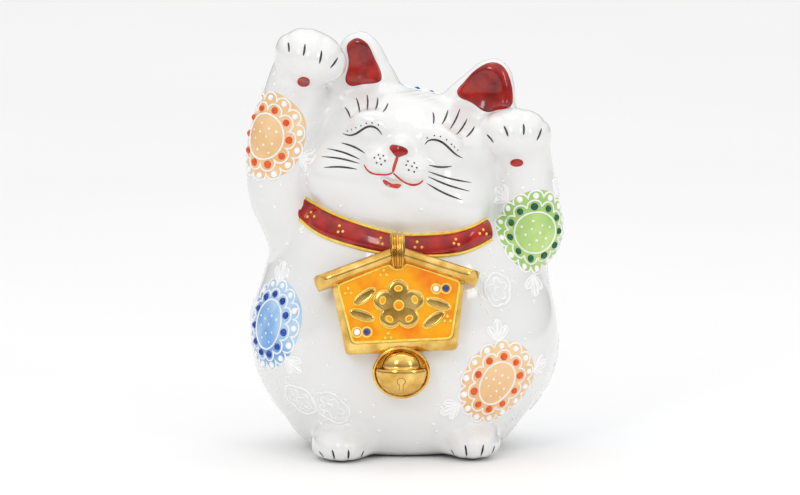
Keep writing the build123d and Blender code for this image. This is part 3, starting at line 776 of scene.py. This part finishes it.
clusters = Build()
facings = unit(np.cross(np.gradient(front_band, axis=1), np.gradient(front_band, axis=0)))
shown = np.stack([front_band[..., 0], front_band[..., 2] * math.cos(VIEW_RISE)
                  + front_band[..., 1] * math.sin(VIEW_RISE)], -1)
for across, up in COLLAR_CLUSTERS:
    for dx, dy in CLUSTER:
        gap = ((shown - [across + dx, up + dy]) ** 2).sum(-1)
        r, c = np.unravel_index(np.argmin(gap), gap.shape)
        facing = facings[r, c] * math.copysign(1, facings[r, c] @ away[c])
        bead(clusters, front_band[r, c], facing, 0.85, 0.65)
clusters.finish("collar_yellow_dots", YELLOW, "yellow_trail", ["collar_dots"])

# ---- medallions ----
LACE = (1.2, 0.85)  # width and height of the trailed lines
LOBE_RISE = 5.9
# For each ring: how far outside the disc its lobes start and its drops stand, and the drops' size.
BEAD_RING = {"lobes": 0.7, "drops": 3.1, "radius": 2.15, "height": 1.9}
PEARL_RING = {"lobes": 6.3, "drops": 9.2, "radius": 1.95, "height": 1.5}
PEARLS, DISC_DOTS = 14, 11
FIELD_REACH = 12.0  # how far the coloured field goes past the disc
UPRIGHT, FORWARD = (0, 0, 1), (0, -1, 0.2)


def oval(turn, half_across, half_up, lean=0):
    """Places round an oval, leaning to its right."""
    return swung(half_across * np.cos(turn), half_up * np.sin(turn), -lean)


def scallops(chart, disc, lean, inner, lobes, shift):
    """A trailed line of lobes round a disc, standing out from it."""
    turn = np.linspace(0, 2 * math.pi, lobes * 24, endpoint=False)
    lift = inner + LOBE_RISE * np.abs(np.sin((turn - shift) * lobes / 2)) ** 0.32
    lift = lift + 0.25 * np.sin(3 * turn + shift * 5)
    trail(lace, chart.at(oval(turn, disc[0] + lift, disc[1] + lift, lean)), *LACE, closed=True)


def sprig(chart, bearing, start=24.0, long=12.0, wide=2.1):
    """Three looped leaves that fan out from the lace."""
    for spread, size in ((-34, 0.82), (0, 1.0), (34, 0.82)):
        turn = np.linspace(0, 2 * math.pi, 30)
        reach = 0.5 + long * size * (1 - np.cos(turn)) / 2
        leaf = swung(reach, wide * np.sin(turn) * (1 - 0.5 * np.cos(turn)) * size, spread)
        places = swung(start + leaf[:, 0], leaf[:, 1], bearing)
        trail(lace, chart.at(places), 1.15, 0.8, closed=True)
        half = len(turn) // 2
        ridge = places[: half + 1] / 2 + places[: half - 2 : -1] / 2
        trail(lace, chart.at(ridge), 2.6 * size, 0.45, taper=0.6)


def crumbs(chart, places, radius):
    """Small white drops at places of a chart."""
    points = chart.at(places)
    for point, normal in zip(points, outward(points)):
        bead(spots, point, normal, radius * random.uniform(0.8, 1.1), 0.5)


def strew(chart, count, near, far, radius, *shape):
    """Drops strewn round an oval, at random between two multiples of its size."""
    around = np.array([random.uniform(0, 2 * math.pi) for _ in range(count)])
    distance = np.array([random.uniform(near, far) for _ in range(count)])
    crumbs(chart, oval(around, *shape) * distance[:, None], radius)


def medallion(name, start, colour, disc, lean, beads, sprigs, up):
    """A coloured field, a laced disc, a ring of lobed beads, a ring of lobed pearls, and sprigs."""
    chart = Chart(start, 40, up)
    turn = np.linspace(0, 2 * math.pi, 120, endpoint=False)
    reach = FIELD_REACH + 0.5 * np.sin(2 * turn + 1) + 0.3 * np.sin(5 * turn)
    edge = oval(turn, disc[0] + reach, disc[1] + reach, lean) * (1 + 0.05 * np.cos(turn - 0.6))[:, None]
    enamel = Build()
    coat(enamel, [chart.at(edge * s) for s in (0.01, *np.linspace(0, 0.985, 22)[1:], 1)], 0.3)
    enamel.finish(f"{name}_field", FIELDS[colour], f"{colour}_field", [name])
    trail(lace, chart.at(oval(turn[::2], *disc, lean)), *LACE, closed=True)
    shift = random.uniform(0, 1)
    for count, ring, build, offset in ((beads, BEAD_RING, bead_builds[colour], shift),
                                       (PEARLS, PEARL_RING, lace, shift + 0.12)):
        scallops(chart, disc, lean, ring["lobes"], count, offset)
        middle = offset + 2 * math.pi * (np.arange(count) + 0.5) / count
        points = chart.at(oval(middle, disc[0] + ring["drops"], disc[1] + ring["drops"], lean))
        for point, normal in zip(points, outward(points)):
            bead(build, point, normal, ring["radius"] * random.uniform(0.9, 1.06), ring["height"])
    order = np.arange(DISC_DOTS)
    inside = 0.78 * np.sqrt((order + 0.5) / DISC_DOTS)
    golden = math.pi * (3 - math.sqrt(5))
    crumbs(chart, oval(order * golden, 1, 1) * np.outer(inside, disc), 0.85)
    for bearing in sprigs:
        sprig(chart, bearing)
    strew(chart, 26, 27, 38, 0.72, 1, 1)  # between 27 and 38 mm from the middle


MEDALLIONS = {  # start, colour, half sizes of the disc, lean, beads, bearings of the sprigs, up
    "right_arm_medallion": (seen([(-78.3, 175.0)])[0], "peach", (12, 13), 0, 10, (-24, 118, 215), UPRIGHT),
    "right_flank_medallion": (seen([(-76.4, 69.7)])[0], "blue", (12, 14.2), 0, 11, (90, -44, 170), UPRIGHT),
    "left_arm_medallion": (seen([(74.9, 120.8)])[0], "green", (12.5, 12), 0, 11, (138, 262, 52), UPRIGHT),
    "left_thigh_medallion": (seen([(52.5, 36.6)])[0], "peach", (10.5, 13), 25, 10, (92, 208, 12), UPRIGHT),
    "left_back_medallion": (strike([(112.0, 26.0, 47.0)], (-0.97, -0.243, 0))[0], "blue", (12, 12), 0, 11,
                            (75, 235), UPRIGHT),
    "crown_medallion": (strike([(13.0, 46.5, 241.0)], (-0.078, -0.494, -0.866))[0], "blue", (12, 12), 0, 11,
                        (150, 270, 30), FORWARD),
}
lace, spots = Build(), Build()
bead_builds = {colour: Build() for colour in BEADS}
for name, row in MEDALLIONS.items():
    medallion(name, *row)
for colour, build in bead_builds.items():
    build.finish(f"{colour}_medallion_beads", BEADS[colour])

# ---- florets and single dots ----


def floret(start, half_across, half_up, lean, phase):
    """A full flower in trailed white: a lobed outline, petals inside it and a curled heart."""
    chart, shape = Chart(start, 24), (half_across, half_up, lean)
    turn = np.linspace(0, 2 * math.pi, 90, endpoint=False)
    ripple = 0.93 + 0.14 * np.abs(np.sin(2.5 * turn + phase)) ** 0.7
    trail(lace, chart.at(oval(turn, *shape) * ripple[:, None]), 1.35, 0.85, closed=True)
    sweep = np.linspace(-0.62, 0.62, 16)
    reach = 0.40 + 0.34 * np.cos(sweep / 0.62 * math.pi / 2)
    for k in range(5):
        petal = oval(phase + 2 * math.pi * k / 5 + sweep, *shape) * reach[:, None]
        trail(lace, chart.at(petal), 1.15, 0.7, taper=0.4)
    curl = np.linspace(0, 4.2, 22)
    heart = oval(phase + curl, *shape) * (0.08 + 0.07 * curl)[:, None]
    trail(lace, chart.at(heart), 1.1, 0.7, taper=0.4)
    strew(chart, 22, 1.18, 1.75, 0.68, *shape)


FLORETS = [((53.1, 89.1), 8.2, 9.0, 0, 0.4), ((-57.5, 27.2), 10.5, 7.8, 35, 1.2),
           ((-40.2, 23.0), 11.2, 8.2, 30, 0.2)]
for place, *shape in FLORETS:
    floret(seen([place])[0], *shape)
SINGLE_DOTS = [(-57.0, 121.1), (-65.0, 114.6), (-42.0, 47.1), (8.1, 3.0), (-65.0, 96.3), (-59.3, 78.0),
               (-16.2, 24.6), (-16.2, 17.6), (-13.4, 9.9), (-23.7, 20.4), (73.8, 82.7), (80.4, 60.0),
               (48.5, 111.2), (17.1, 13.8), (19.0, 9.6), (21.4, 23.7), (32.1, 42.9), (-72.4, 210.1),
               (-72.2, 204.2), (-79.9, 147.0), (-72.0, 135.5), (-53.3, 153.8), (-34.9, 135.8),
               (10.1, 133.8), (67.0, 146.0), (73.1, 150.7)]
dot(spots, SINGLE_DOTS, 1.0, 0.55)
lace.finish("white_trailed_enamel", WHITE, "white_trail")
spots.finish("white_enamel_dots", WHITE, "white_trail")

# ---- pendant ----
PENDANT_ORIGIN, RECLINE, ROLL = np.array([-1.0, -69.5, 97.0]), math.radians(11), math.radians(1.5)
PENDANT_X = np.array([math.cos(ROLL), 0, math.sin(ROLL)])
PENDANT_N = np.array([0, -math.cos(RECLINE), math.sin(RECLINE)])
PENDANT_Y = np.cross(PENDANT_N, PENDANT_X)
PANEL_TOP = 0.5  # how far the panel's face stands in front of the board's


def on_pendant(places, height):
    """Points over the tablet's face at places across and up it."""
    places = np.asarray(places, float)
    height = np.broadcast_to(height, len(places))
    return (PENDANT_ORIGIN + places[:, :1] * PENDANT_X + places[:, 1:] * PENDANT_Y
            + height[:, None] * PENDANT_N)


def ring_of(middle, half_across, half_up, lean=0, count=40):
    """Points round a small oval, leaning to its left."""
    turn = np.linspace(0, 2 * math.pi, count, endpoint=False)
    return oval(turn, half_across, half_up, -lean) + np.asarray(middle)


def plate(outline, middle, height, dish):
    """A raised plate of gold, a little hollow in its middle, with rounded edges."""
    outline, middle = np.asarray(outline, float), np.asarray(middle, float)
    profile = [(1.0, -0.3), (1.0, height * 0.75), (0.965, height), (0.8, height - dish * 0.5),
               (0.5, height - dish), (0.02, height - dish)]
    ornament.add_rings([on_pendant(middle + (outline - middle) * s, PANEL_TOP + h) for s, h in profile])


def window(middle, ring, cord, cord_height, fill_height):
    """An opening in the gold that shows the enamel, with a yellow line round it."""
    tube(outlines, on_pendant(ring, PANEL_TOP + cord_height), cord, closed=True)
    windows.add_rings([on_pendant(middle + (ring - middle) * s, PANEL_TOP + fill_height)
                       for s in (0.02, 1.0)])


def softened(corners, parts=None, rounds=1):
    """A closed outline through corners, evenly dotted and a little rounded at them."""
    edge = []
    for (x0, y0), (x1, y1) in zip(corners, corners[1:] + corners[:1]):
        count = parts or max(3, int(math.hypot(x1 - x0, y1 - y0) / 1.5))
        edge += [(x0 + (x1 - x0) * t / count, y0 + (y1 - y0) * t / count) for t in range(count)]
    edge = np.array(edge)
    for _ in range(rounds):
        edge = (np.roll(edge, 1, axis=0) + 2 * edge + np.roll(edge, -1, axis=0)) / 4
    return edge


# the board with its bevelled frame, and the enamelled panel in it
BOARD_CORNERS = [(-39.2, 9.0), (-31.6, -32.6), (30.3, -31.4), (35.8, 9.0), (-1.5, 22.0)]
FRAME_CORNERS = [(-36.0, 7.0), (-28.1, -27.0), (27.7, -25.9), (33.7, 7.0), (-1.5, 19.5)]
PANEL_CORNERS = [(-35.3, 6.0), (-27.6, -26.3), (27.2, -25.1), (33.0, 6.3), (3.3, 17.5), (1.7, 14.9),
                 (-1.5, 13.7), (-4.7, 14.9), (-6.3, 17.1)]
outer, inner = softened(BOARD_CORNERS, 24), softened(FRAME_CORNERS, 24)
board = Build()
board.add_rings([on_pendant(places, height) for places, height in (
    (outer, -18), (outer, -2.4), (outer * 0.985 + inner * 0.015, -1.7), (outer * 0.12 + inner * 0.88, 0.3),
    (inner, 0.6), (inner * 0.97, 0.2), (inner * 0.02, 0.2))])
board.finish("plaque_gold_board", GOLD, "gilding", ["plaque_board"])
panel_edge = softened(PANEL_CORNERS, rounds=2)
panel = Build()
panel.add_rings([on_pendant(panel_edge * s, PANEL_TOP + 0.3 * (1 - s * s)) for s in np.linspace(1, 0.02, 12)])
panel.finish("plaque_enamel_panel", PANEL, "orange_panel", ["plaque_panel"])

# the ornament: a blossom of five round petals between leaves, and the drops round it
BLOSSOM, PETAL_RING, PETAL = np.array([-1.5, -6.0]), 8.5, 5.6
WINDOW_RING, HEART = 9.4, 2.6
LEAVES = [(-20.5, -0.6, 35), (-22.3, -11, -20), (17.8, -14.5, 35), (20.5, -5.8, -20)]
PEARL_PAIRS, PAIR_GAP = [(19.5, 2.8), (-25.2, -20.4)], 5.5
GRAIN_CLUSTERS = [(-9.6, 12.3), (-29.6, 2.7), (25.4, -14.3), (-7.9, -23.0)]
turn = np.linspace(0, 2 * math.pi, 180, endpoint=False)
off_petal = (turn - math.pi / 2 + math.pi / 5) % (2 * math.pi / 5) - math.pi / 5
reach = PETAL_RING * np.cos(off_petal) + np.sqrt(PETAL**2 - (PETAL_RING * np.sin(off_petal)) ** 2)
petals = BLOSSOM + np.stack([reach * np.cos(turn), reach * np.sin(turn)], 1)
ornament, outlines, windows = Build(), Build(), Build()
plate(petals, BLOSSOM, 1.5, 0.35)
tube(outlines, on_pendant(petals, PANEL_TOP + 0.35), 0.72, closed=True)
for degrees in 90 + 72 * np.arange(5):
    bearing = math.radians(degrees)
    middle = BLOSSOM + WINDOW_RING * np.array([math.cos(bearing), math.sin(bearing)])
    window(middle, ring_of(middle, 2.1, 1.5, degrees - 90), 0.42, 1.3, 1.42)
window(BLOSSOM, ring_of(BLOSSOM, HEART, HEART), 0.5, 1.25, 1.32)
for x, y, lean in LEAVES:
    leaf = ring_of((x, y), 7.0, 2.7, lean, 56)
    plate(leaf, (x, y), 1.3, 0.3)
    tube(outlines, on_pendant(leaf, PANEL_TOP + 0.35), 0.66, closed=True)
tube(outlines, on_pendant(panel_edge, PANEL_TOP + 0.3), 0.75, closed=True)
pearls, sapphires, grains = Build(), Build(), Build()
for x, y in PEARL_PAIRS:
    bead(pearls, on_pendant([(x, y)], PANEL_TOP)[0], PENDANT_N, 1.9, 1.6)
    bead(sapphires, on_pendant([(x + PAIR_GAP, y)], PANEL_TOP)[0], PENDANT_N, 1.8, 1.5)
    for dx in (0, PAIR_GAP):
        tube(outlines, on_pendant(ring_of((x + dx, y - 0.1), 2.7, 2.7), PANEL_TOP + 0.2), 0.55, closed=True)
for x, y in GRAIN_CLUSTERS:
    for dx, dy in CLUSTER:
        bead(grains, on_pendant([(x + dx, y + dy)], PANEL_TOP + 0.25)[0], PENDANT_N, 1.0, 1.1)
ornament.finish("plaque_gold_ornament", GOLD, "gilding", ["plaque_ornament"])
outlines.finish("plaque_yellow_lines", YELLOW, "yellow_trail", ["plaque_outline"])
windows.finish("plaque_ornament_windows", PANEL, "orange_panel")
pearls.finish("plaque_white_pearls", WHITE, "white_trail", ["plaque_dots_white"])
sapphires.finish("plaque_blue_pearls", BEADS["blue"], "blue_trail", ["plaque_dots_blue"])
grains.finish("plaque_yellow_grains", YELLOW, "yellow_trail", ["plaque_dots_yellow"])

# the roof: two round-backed bars that meet at the ridge, their ends cut back towards the front
ROOF_TOP, ROOF_ENDS, END_SLANT = np.array([-1.4, 22.9]), ((-42.2, 8.9), (37.6, 9.5)), 5.6
BAR = [(-4.1, -9.0), (-4.1, 1.8), (-3.6, 3.1), (-2.4, 4.2), (-0.6, 5.0), (1.0, 4.9), (2.4, 3.8), (3.8, 2.2),
       (4.2, 0.6), (4.2, -16.0)]
roof = Build()
for start in np.array(ROOF_ENDS):
    run = unit(ROOF_TOP - start)
    across = np.array([-run[1], run[0]]) * math.copysign(1, run[0])
    rows = []
    for t in np.linspace(0, 1, 12):
        middle = start + (ROOF_TOP - start) * t
        places = []
        for u, h in BAR:
            place = middle - across * u
            if t == 0:  # the slanted end
                place = place - run * END_SLANT * (1 - max(h, 0) / 5)
            if t == 1:  # mitred where the bars meet
                place = np.array([ROOF_TOP[0], middle[1] - u / across[1]])
            places.append(on_pendant([place], h)[0])
        rows.append(places)
    end, tip = np.array(rows[0]), on_pendant([start - run * (END_SLANT + 0.5)], 0.3)[0]
    rows = [tip + (end - tip) * s for s in (0.02, 0.5, 0.93)] + rows
    roof.add(np.array(rows).reshape(-1, 3), grid_faces(len(rows), len(BAR)))
roof.finish("plaque_gold_roof", GOLD, "gilding", ["plaque_roof"])

# the loop: a ribbed strap from the foot of the ridge up over the collar
RIB_PITCH, LOOP_HALF, LOOP_SIDE = 2.8, 4.2, -3.0
LOOP_SECTION = [(u, 0.5 + 0.75 * math.cos(2 * math.pi * u / RIB_PITCH) - 0.035 * u * u)
                for u in np.linspace(-LOOP_HALF, LOOP_HALF, 31)]
LOOP_SECTION = [(-LOOP_HALF, LOOP_SIDE), *LOOP_SECTION, (LOOP_HALF, LOOP_SIDE)]
LOOP_PATH = [  # up the pendant, height over it, and how wide
    (14.4, 0.2, 0.35), (14.8, 2.2, 0.62), (16.2, 3.8, 0.86), (18.6, 4.8, 1.0), (21.5, 5.3, 1.0),
    (24.5, 5.4, 1.0), (27.5, 5.0, 1.0), (30.3, 4.0, 1.0), (32.6, 2.1, 1.0), (34.0, -0.8, 1.0),
    (34.5, -4.5, 1.0), (34.4, -9.0, 1.0)]
path = curve(LOOP_PATH, 48)
loop_rows = []
for (up, height, wide), (rise, lift) in zip(path, unit(np.gradient(path[:, :2], axis=0))):
    for u, h in LOOP_SECTION:
        place = (ROOF_TOP[0] + u * wide, up - h * wide * lift)
        loop_rows.append(on_pendant([place], height + h * wide * rise)[0])
loop = Build()
loop.add(np.array(loop_rows), grid_faces(len(path), len(LOOP_SECTION)))
loop.finish("pendant_ribbed_loop", GOLD, "gilding", ["pendant_loop"])

# ---- bell ----
band_low, band_high = (np.array(corner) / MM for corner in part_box("bell_band"))
band_middle, band_radius = (band_low + band_high) / 2, (band_high[0] - band_low[0]) / 2
BELL = np.array([band_middle[0] - 1.2, band_low[1] + band_radius - 4.3, band_middle[2] + 2.4])
BELL_DEPTH = 0.68  # the bell is a little flat from front to back
BELL_SIDES = 72
# Radius and height from the bowl's foot up to its lip, and on over the dome.
BOWL = [(0.0, -14.8), (4.0, -14.3), (7.8, -12.8), (11.0, -10.2), (13.2, -6.8), (14.3, -3.0), (14.4, -0.8),
        (14.2, 0.0), (13.7, 0.7)]
DOME = [(13.7, 0.7), (12.4, 1.0), (10.8, 1.2), (10.6, 2.6), (10.0, 4.6), (8.6, 6.8), (6.4, 8.6), (3.4, 9.8),
        (0.0, 10.2)]
RIM_ACROSS, RIM_UP, RIM_DROP, RIM_BACK = 15.3, 13.8, 1.8, 16
HOLE_UP, HOLE, SLOT_TOP, SLOT_LONG, ENGRAVED = -5.6, 2.1, -7.5, 3.4, 0.16


def bell_ring(radius, height):
    """A ring of the bell, seen from above as a flattened circle."""
    turn = 2 * math.pi * np.arange(BELL_SIDES) / BELL_SIDES
    radius = max(radius, 0.02)
    return BELL + np.stack([radius * np.cos(turn), radius * np.sin(turn) * BELL_DEPTH, 0 * turn + height], 1)


def bell_point(turn, height):
    """A point just over the bowl's wall; turn is from the front, to the right as seen."""
    radii, heights = zip(*BOWL[:7])
    radius = np.interp(height, heights, radii) + 0.15
    return BELL + np.array([radius * math.sin(turn), -radius * math.cos(turn) * BELL_DEPTH, height])


for name, profile, nodes in (("bell_bowl", BOWL, ["bell_lower_half", "bell_band"]),
                             ("bell_dome", DOME, ["bell_upper_half"])):
    half = Build()
    half.add_rings([bell_ring(*step) for step in profile])
    half.finish(name, GOLD, "gilding", nodes)
rim = Build()
turn = 2 * math.pi * np.arange(96) / 96
rim_middle = BELL - [0, 0, RIM_DROP]
ring = rim_middle + np.stack([RIM_ACROSS * np.cos(turn), 0 * turn, RIM_UP * np.sin(turn)], 1)
tube(rim, ring, 0.9, closed=True)
rim.add_rings([rim_middle + (ring - rim_middle) * s for s in (0.02, 0.98)] + [ring + [0, RIM_BACK, 0]])
rim.finish("bell_rim", GOLD, "gilding")
slot_lines = Build()
tube(slot_lines, [bell_point(0.17 * math.sin(a), HOLE_UP + HOLE * math.cos(a))
                  for a in np.linspace(0.5, 5.8, 20) + math.pi], ENGRAVED)
for side in (-1, 1):
    tube(slot_lines, [bell_point(side * (0.08 + 0.02 * t), SLOT_TOP - SLOT_LONG * t)
                      for t in np.linspace(0, 1, 8)], ENGRAVED)
slot_lines.finish("bell_slot_lines", finish_of("slot_lines", (0.30, 0.15, 0.12), (0.16, 0.08, 0.09), 200,
                                               (0.2, 0.3)))

# ---- floor, light and camera ----
LAMPS = [  # name, place, width, height and watts
    ("key", (-0.55, -1.35, 0.95), 0.26, 0.5, 3.0), ("fill", (0.95, -1.0, 0.7), 0.18, 0.5, 1.7),
    ("top", (0.0, 0.1, 1.3), 0.6, 0.4, 1.2)]
LAMP_AIM = Vector((0, 0, 0.12))
TARGET, DISTANCE, FRAME_WIDTH, SENSOR = np.array([-0.0017, 0.0, 0.1137]), 5.0, 0.452, 36.0


def set_sky(scene):
    """A plain sky, dim at the horizon and bright overhead."""
    world = bpy.data.worlds.new("studio")
    scene.world = world
    world.use_nodes = True
    nodes, links = world.node_tree.nodes, world.node_tree.links
    place = nodes.new("ShaderNodeTexCoord")
    split = nodes.new("ShaderNodeSeparateXYZ")
    sky = nodes.new("ShaderNodeValToRGB")
    sky.color_ramp.elements[0].position, sky.color_ramp.elements[1].position = 0.0, 0.75
    sky.color_ramp.elements[0].color = (0.13, 0.13, 0.133, 1)
    sky.color_ramp.elements[1].color = (1, 1, 1, 1)
    links.new(place.outputs["Generated"], split.inputs["Vector"])
    links.new(split.outputs["Z"], sky.inputs["Fac"])
    links.new(sky.outputs["Color"], nodes["Background"].inputs["Color"])
    nodes["Background"].inputs["Strength"].default_value = 1.16


def set_stage():
    """A pale floor, a broad light on each side and above, and a long lens in front."""
    scene = bpy.context.scene
    bpy.ops.mesh.primitive_plane_add(size=12)
    floor = bpy.context.object
    floor.name = "floor"
    floor.data.materials.append(finish_of("pale_floor", (0.97, 0.97, 0.97), (0.95, 0.95, 0.95), 2,
                                          (0.6, 0.7)))
    floor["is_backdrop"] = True
    set_sky(scene)
    scene.view_settings.view_transform = "Standard"
    for name, place, wide, tall, watts in LAMPS:
        lamp = bpy.data.lights.new(name, "AREA")
        lamp.shape, lamp.size, lamp.size_y, lamp.energy = "RECTANGLE", wide, tall, watts
        holder = bpy.data.objects.new(name, lamp)
        scene.collection.objects.link(holder)
        holder.location = place
        holder.rotation_euler = (LAMP_AIM - Vector(place)).to_track_quat("-Z", "Y").to_euler()
    lens = bpy.data.cameras.new("camera")
    lens.sensor_width = SENSOR
    lens.lens = SENSOR * DISTANCE / FRAME_WIDTH
    lens.clip_end = 50.0
    camera = bpy.data.objects.new("camera", lens)
    scene.collection.objects.link(camera)
    heading = np.array([0.0, math.cos(VIEW_RISE), -math.sin(VIEW_RISE)])
    camera.location = TARGET - heading * DISTANCE
    camera.rotation_euler = (math.pi / 2 - VIEW_RISE, 0, 0)
    scene.camera = camera


set_stage()

low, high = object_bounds()
